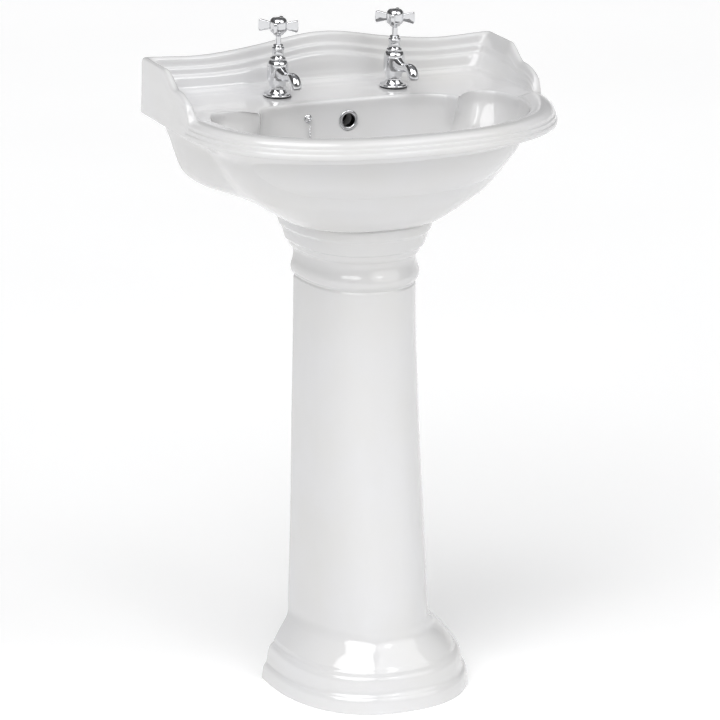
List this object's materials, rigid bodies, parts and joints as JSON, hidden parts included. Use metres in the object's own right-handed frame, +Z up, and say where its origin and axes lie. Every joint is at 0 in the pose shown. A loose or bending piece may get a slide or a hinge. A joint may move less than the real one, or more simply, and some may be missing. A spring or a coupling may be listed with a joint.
{
  "type": "pedestal sink",
  "caption": "Pedestal hand basin with a curved splash-back, raised wings, cross-head pillar taps, overflow, plug on a chain and trap.",
  "frame": {"origin": "centre of the object's bounding box in plan, on the floor under the pedestal", "axes": "+Z up; +Y towards the wall behind the basin; +X to the left of someone at the wall looking out, which is the right of someone using the basin"},
  "size_m": [0.524, 0.356, 0.906],
  "materials": {
    "china": "high gloss white glaze",
    "chrome": "polished chrome plate",
    "brass": "plain machined brass",
    "rubber": "matt black rubber",
    "fibre": "off-white semi-gloss polythene",
    "trap_plastic": "white moulded polypropylene"
  },
  "bodies": {
    "basin_stand": {"basin": "china", "pedestal": "china", "hot_tap_body": "chrome", "hot_deck_gasket": "rubber", "hot_under_washer": "fibre", "hot_backnut": "brass", "hot_headwork": "chrome", "cold_tap_body": "chrome", "cold_deck_gasket": "rubber", "cold_under_washer": "fibre", "cold_backnut": "brass", "cold_headwork": "chrome", "overflow_trim": "chrome", "chain_stay": "chrome", "chain_stay_nut": "brass", "plug_chain": "chrome", "waste_body": "chrome", "waste_upper_seal": "rubber", "waste_lower_seal": "rubber", "waste_backnut": "brass", "trap_inlet_nut": "trap_plastic", "trap_seal": "rubber", "trap_body": "trap_plastic", "trap_cup": "trap_plastic", "trap_outlet_nut": "trap_plastic", "trap_outlet_pipe": "trap_plastic"},
    "hot_handle": {"hot_spindle": "chrome", "hot_cross_handle": "chrome", "hot_handle_screw": "brass", "hot_index_cap": "chrome"},
    "hot_valve": {"hot_valve_jumper": "brass", "hot_valve_washer": "rubber"},
    "cold_handle": {"cold_spindle": "chrome", "cold_cross_handle": "chrome", "cold_handle_screw": "brass", "cold_index_cap": "chrome"},
    "cold_valve": {"cold_valve_jumper": "brass", "cold_valve_washer": "rubber"},
    "plug_assembly": {"plug": "rubber", "plug_cap": "chrome"}
  },
  "joints": [
    {"name": "hot_handle_turn", "type": "hinge", "parent": "basin_stand", "child": "hot_handle", "pos_m": [-0.086, 0.118, 0.89], "axis": [0, 0, 1], "range_deg": [0, 360]},
    {"name": "hot_valve_lift", "type": "slide", "parent": "basin_stand", "child": "hot_valve", "axis": [0, 0, 1], "range_m": [0, 0.0045]},
    {"name": "cold_handle_turn", "type": "hinge", "parent": "basin_stand", "child": "cold_handle", "pos_m": [0.086, 0.118, 0.89], "axis": [0, 0, 1], "range_deg": [0, 360]},
    {"name": "cold_valve_lift", "type": "slide", "parent": "basin_stand", "child": "cold_valve", "axis": [0, 0, 1], "range_m": [0, 0.0045]},
    {"name": "plug_lift", "type": "slide", "parent": "basin_stand", "child": "plug_assembly", "axis": [0, 0, 1], "range_m": [0, 0.06], "deforming": ["plug_chain"]}
  ],
  "couplings": [
    {"joint": "hot_valve_lift", "follows": "hot_handle_turn", "m_per_rad": 0.00063598},
    {"joint": "cold_valve_lift", "follows": "cold_handle_turn", "m_per_rad": 0.00063598}
  ]
}
